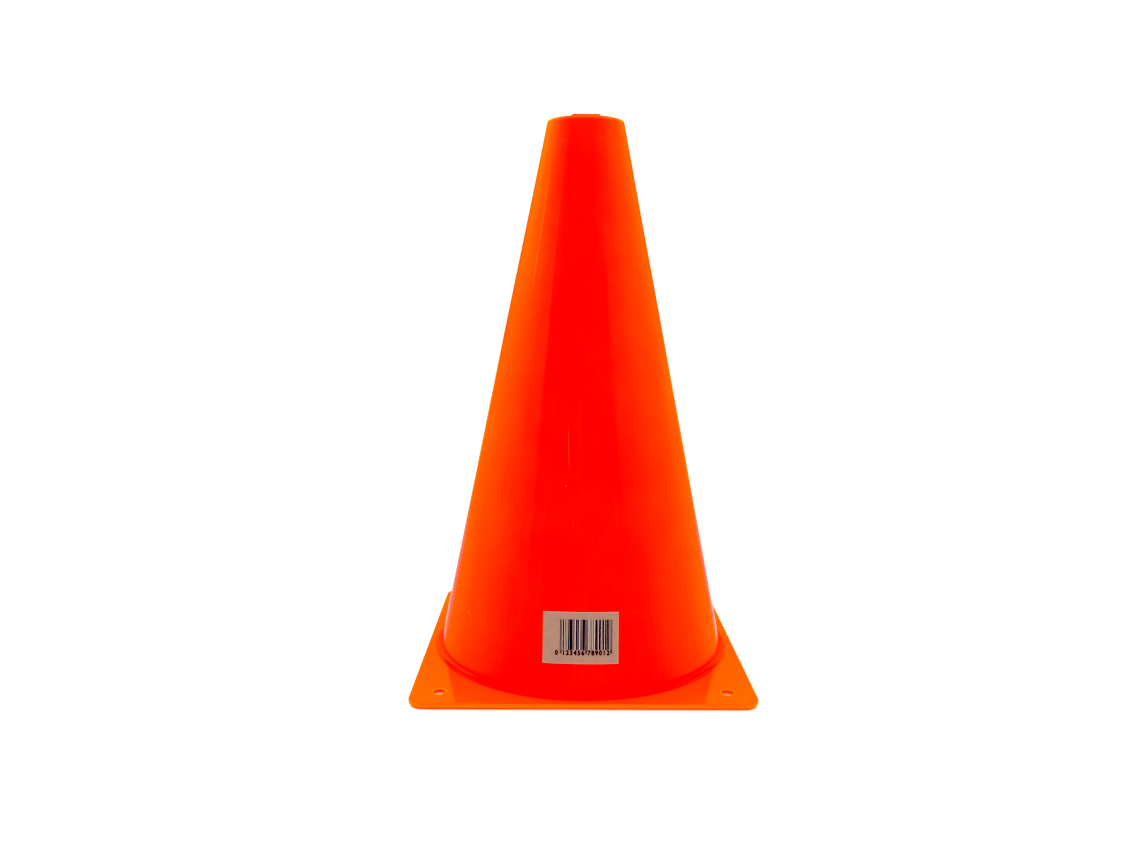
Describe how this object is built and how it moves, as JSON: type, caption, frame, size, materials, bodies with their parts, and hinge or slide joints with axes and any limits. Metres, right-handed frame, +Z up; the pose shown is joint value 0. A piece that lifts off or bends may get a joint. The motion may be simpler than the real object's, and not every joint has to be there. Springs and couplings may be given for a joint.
{
  "type": "traffic cone",
  "caption": "Small hollow plastic marker cone, closed at the top, on a square foot plate with corner holes and a paper barcode label.",
  "frame": {"origin": "on the ground at the middle of the foot, on the cone's axis", "axes": "+Z up along the cone's axis, -Y to the front where the label is, +X to the right seen from the front"},
  "size_m": [0.168, 0.168, 0.2863],
  "materials": {
    "orange_plastic": "glossy fluorescent orange polyethylene, slightly translucent, with fine drag lines and light scuffs",
    "label_glue": "thin clear pressure-sensitive glue film",
    "label_face": "uncoated beige-grey label paper, matt, with thermal-printed black bars and digits"
  },
  "bodies": {
    "root": {"cone_moulding": "orange_plastic", "label_adhesive": "label_glue", "label_paper": "label_face"}
  },
  "joints": []
}
